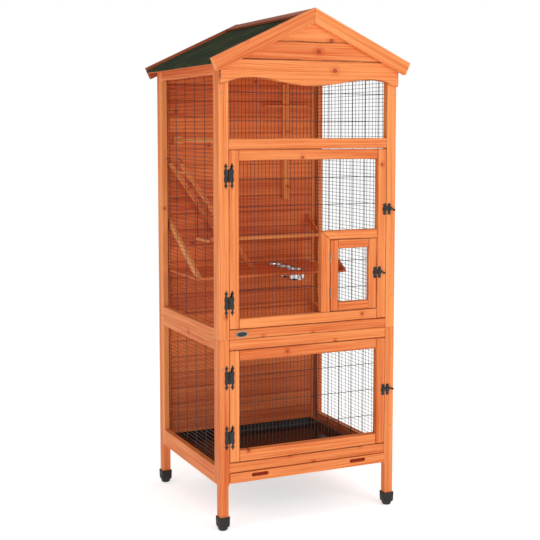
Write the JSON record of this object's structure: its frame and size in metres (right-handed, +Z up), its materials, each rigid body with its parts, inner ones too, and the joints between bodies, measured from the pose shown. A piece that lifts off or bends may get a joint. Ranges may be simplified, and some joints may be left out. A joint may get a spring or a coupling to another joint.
{
  "type": "garden aviary",
  "caption": "Tall stained-pine aviary on legs: meshed upper and lower sections with hinged doors, a pull-out tray, shelf, perches and a felted gable roof",
  "frame": {"origin": "on the ground, under the middle of the box around the whole aviary", "axes": "+Z up, the doors face -Y, +X is to the right seen from the front"},
  "size_m": [0.72, 0.6546, 1.7],
  "materials": {
    "pine": "red-orange stain, satin",
    "shaded_pine": "red-orange stain, matt",
    "raw_pine": "lightly stained, smooth",
    "roof_timber": "reddish brown stain, matt",
    "felt": "mineral felt on boards",
    "steel": "bright",
    "iron": "black, satin",
    "wire": "dark grey welded wire",
    "cap_rubber": "dark, matt",
    "tray_plastic": "black, moulded"
  },
  "bodies": {
    "frame": {"back_wall_lower": "shaded_pine", "back_wall_upper": "shaded_pine", "barge_board_front_left": "pine", "barge_board_front_right": "pine", "barge_board_rear_left": "roof_timber", "barge_board_rear_right": "roof_timber", "foot_cap_front_left": "cap_rubber", "foot_cap_front_right": "cap_rubber", "foot_cap_rear_left": "cap_rubber", "foot_cap_rear_right": "cap_rubber", "front_rail_above_tray": "pine", "front_rail_lower_section": "pine", "front_rail_under_window": "pine", "front_rail_upper_section": "pine", "gable_board": "pine", "ladder": "raw_pine", "lower_mesh_left": "wire", "lower_mesh_right": "wire", "lower_side_panel_left": "pine", "lower_side_panel_right": "pine", "perch_front_to_back": "raw_pine", "perch_side_to_side": "raw_pine", "perch_tree": "raw_pine", "post_leaf_lower_door_bottom": "iron", "post_leaf_lower_door_top": "iron", "post_leaf_upper_door_bottom": "iron", "post_leaf_upper_door_top": "iron", "ridge_cap": "roof_timber", "roof_panel_left": "felt", "roof_panel_right": "felt", "shelf": "shaded_pine", "shelf_strut_left": "pine", "shelf_strut_right": "pine", "upper_mesh_left": "wire", "upper_mesh_right": "wire", "upper_side_panel_left": "pine", "upper_side_panel_right": "pine", "window_mesh": "wire"},
    "upper_door": {"upper_door_frame": "pine", "upper_door_mesh": "wire", "upper_door_hinge_top": "iron", "upper_door_hinge_bottom": "iron"},
    "small_door": {"small_door_frame": "pine", "small_door_mesh": "wire", "small_door_hinge_top": "steel", "small_door_hinge_bottom": "steel"},
    "lower_door": {"lower_door_frame": "pine", "lower_door_mesh": "wire", "lower_door_hinge_top": "iron", "lower_door_hinge_bottom": "iron"},
    "upper_latch": {"latch_lever_upper_door": "iron"},
    "small_latch": {"latch_lever_small_door": "iron"},
    "lower_latch": {"latch_lever_lower_door": "iron"},
    "drawer": {"tray": "tray_plastic", "tray_front": "pine"},
    "front_cup": {"cup_front": "steel"},
    "middle_cup": {"cup_middle": "steel"},
    "rear_cup": {"cup_rear": "steel"},
    "swing": {"swing_bail": "iron", "swing_bar": "raw_pine"}
  },
  "joints": [
    {"name": "upper_door_hinge", "type": "hinge", "parent": "frame", "child": "upper_door", "pos_m": [-0.29025, -0.298, 0.9565], "axis": [0, 0, -1], "range_deg": [0, 170]},
    {"name": "small_door_hinge", "type": "hinge", "parent": "upper_door", "child": "small_door", "pos_m": [0.07575, -0.298, 0.8205], "axis": [0, 0, -1], "range_deg": [0, 160]},
    {"name": "lower_door_hinge", "type": "hinge", "parent": "frame", "child": "lower_door", "pos_m": [-0.29025, -0.298, 0.409], "axis": [0, 0, -1], "range_deg": [0, 170]},
    {"name": "upper_latch_turn", "type": "hinge", "parent": "frame", "child": "upper_latch", "pos_m": [0.3005, -0.298, 1.044], "axis": [0, 1, 0], "range_deg": [0, 80]},
    {"name": "small_latch_turn", "type": "hinge", "parent": "upper_door", "child": "small_latch", "pos_m": [0.2645, -0.298, 0.829], "axis": [0, 1, 0], "range_deg": [0, 80]},
    {"name": "lower_latch_turn", "type": "hinge", "parent": "frame", "child": "lower_latch", "pos_m": [0.3005, -0.298, 0.419], "axis": [0, 1, 0], "range_deg": [0, 80]},
    {"name": "tray_slide", "type": "slide", "parent": "frame", "child": "drawer", "axis": [0, -1, 0], "range_m": [0, 0.4]},
    {"name": "front_cup_lift", "type": "slide", "parent": "frame", "child": "front_cup", "axis": [0, 0, 1], "range_m": [0, 0.12]},
    {"name": "middle_cup_lift", "type": "slide", "parent": "frame", "child": "middle_cup", "axis": [0, 0, 1], "range_m": [0, 0.12]},
    {"name": "rear_cup_lift", "type": "slide", "parent": "frame", "child": "rear_cup", "axis": [0, 0, 1], "range_m": [0, 0.12]},
    {"name": "swing_hinge", "type": "hinge", "parent": "frame", "child": "swing", "pos_m": [-0.294, -0.0715, 1.062], "axis": [0, -1, 0], "range_deg": [0, 35]}
  ]
}
